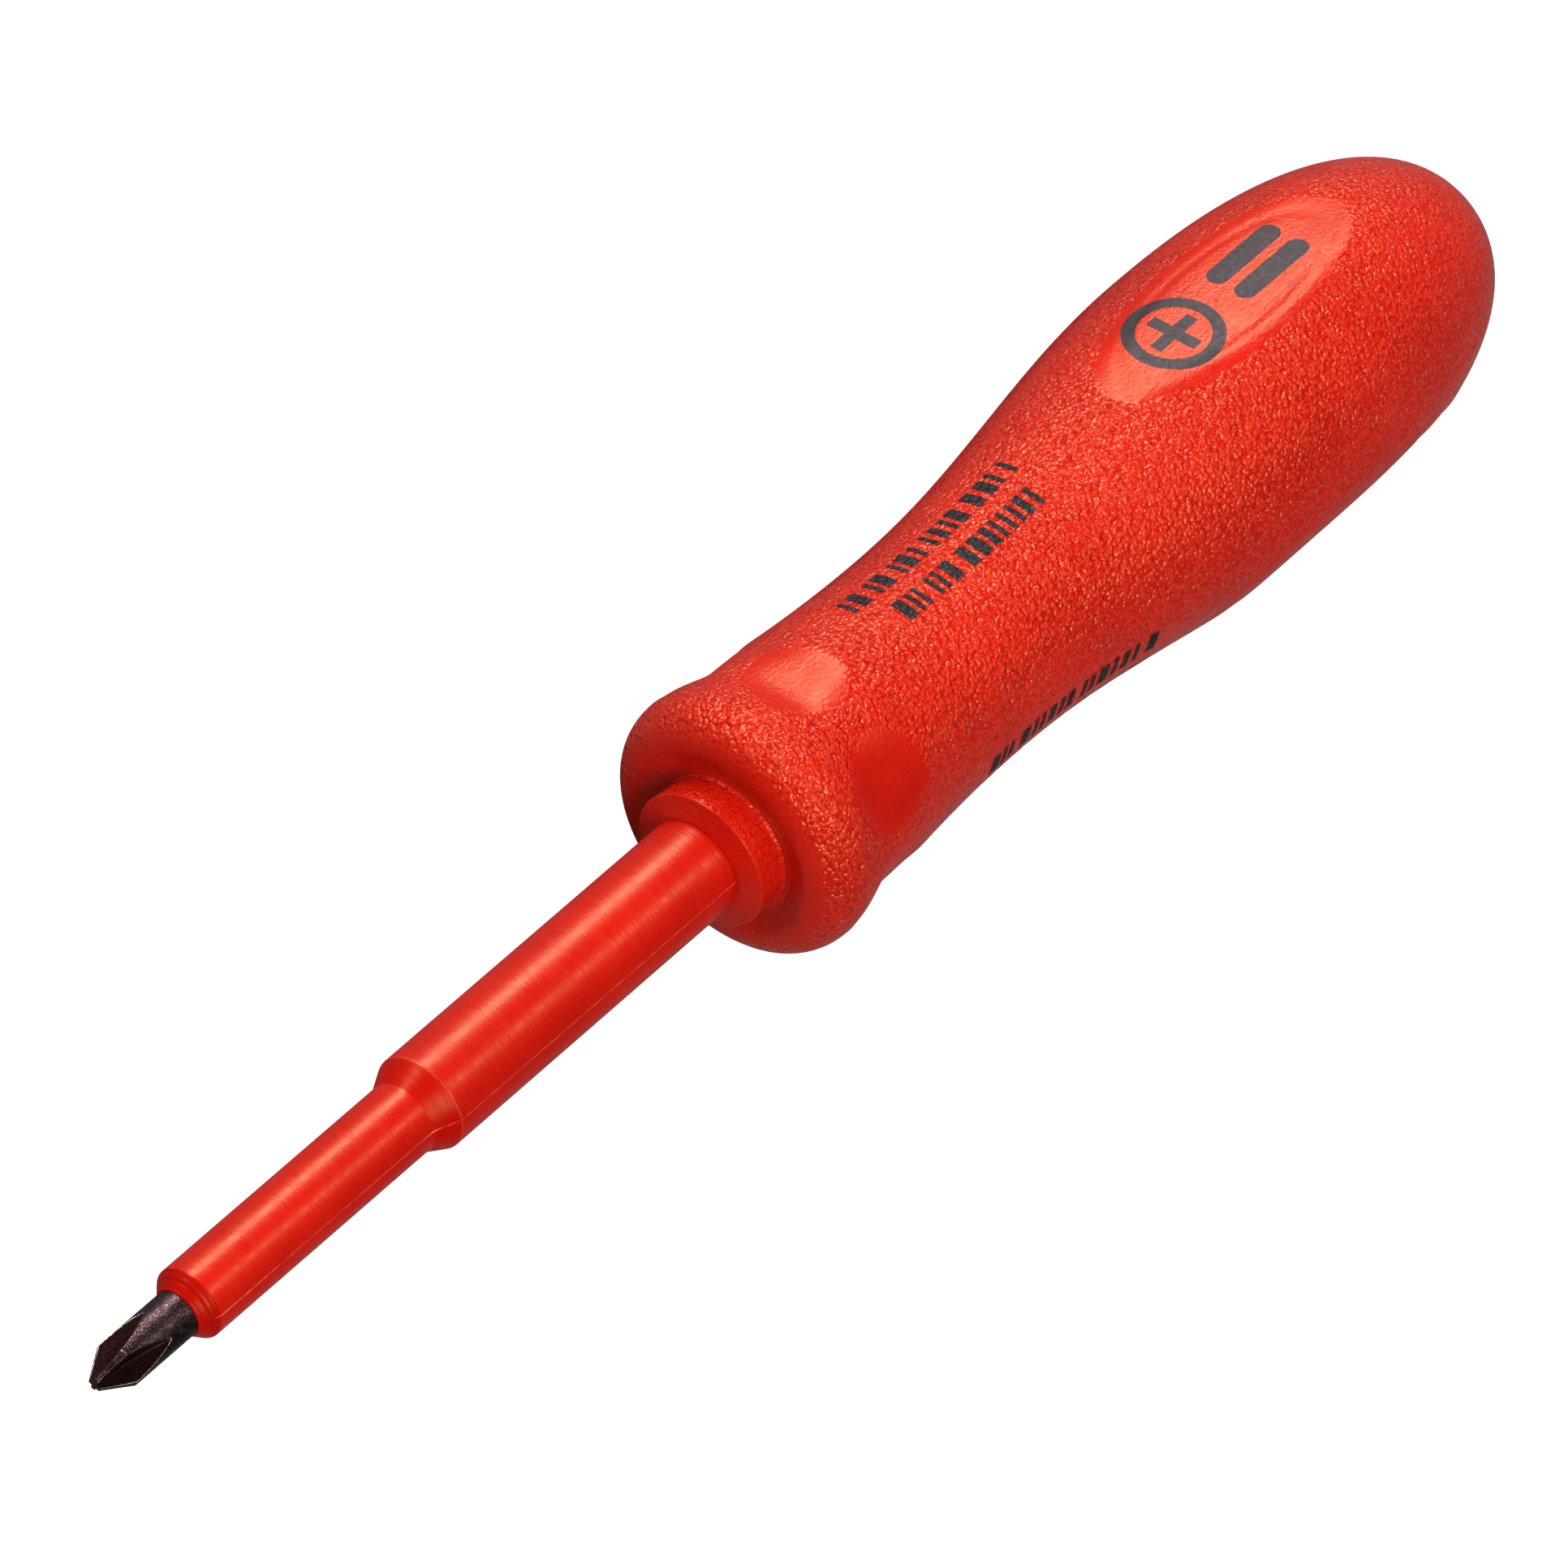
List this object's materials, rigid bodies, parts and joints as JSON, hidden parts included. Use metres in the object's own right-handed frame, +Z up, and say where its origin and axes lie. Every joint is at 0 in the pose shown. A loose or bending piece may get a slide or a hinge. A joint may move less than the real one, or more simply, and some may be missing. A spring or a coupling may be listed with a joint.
{
  "type": "insulated screwdriver",
  "caption": "Insulated screwdriver: cross-point steel blade in a stepped insulating sleeve, fixed in a contoured grip with front flange, thumb dimples, slim waist and smooth panels.",
  "frame": {"origin": "centre of the blade's tip", "axes": "+X along the tool from the tip to the end of the handle; +Z up, with one smooth panel of the grip facing down at -Z; +Y across"},
  "size_m": [0.177, 0.028, 0.0271],
  "materials": {
    "blade_steel": "blackened hardened steel, satin, with bright worn edges",
    "sleeve_plastic": "orange-red moulded nylon, satin, with fine turned rings",
    "core_plastic": "darker red glass-filled nylon, plain moulded",
    "grip_plastic": "orange-red moulded nylon with a pebbled grain, smooth in the panels and dimples",
    "print_ink": "thin dark pad-printed ink"
  },
  "bodies": {
    "root": {"blade": "blade_steel", "blade_sleeve": "sleeve_plastic", "handle_core": "core_plastic", "handle_grip": "grip_plastic"}
  },
  "joints": []
}
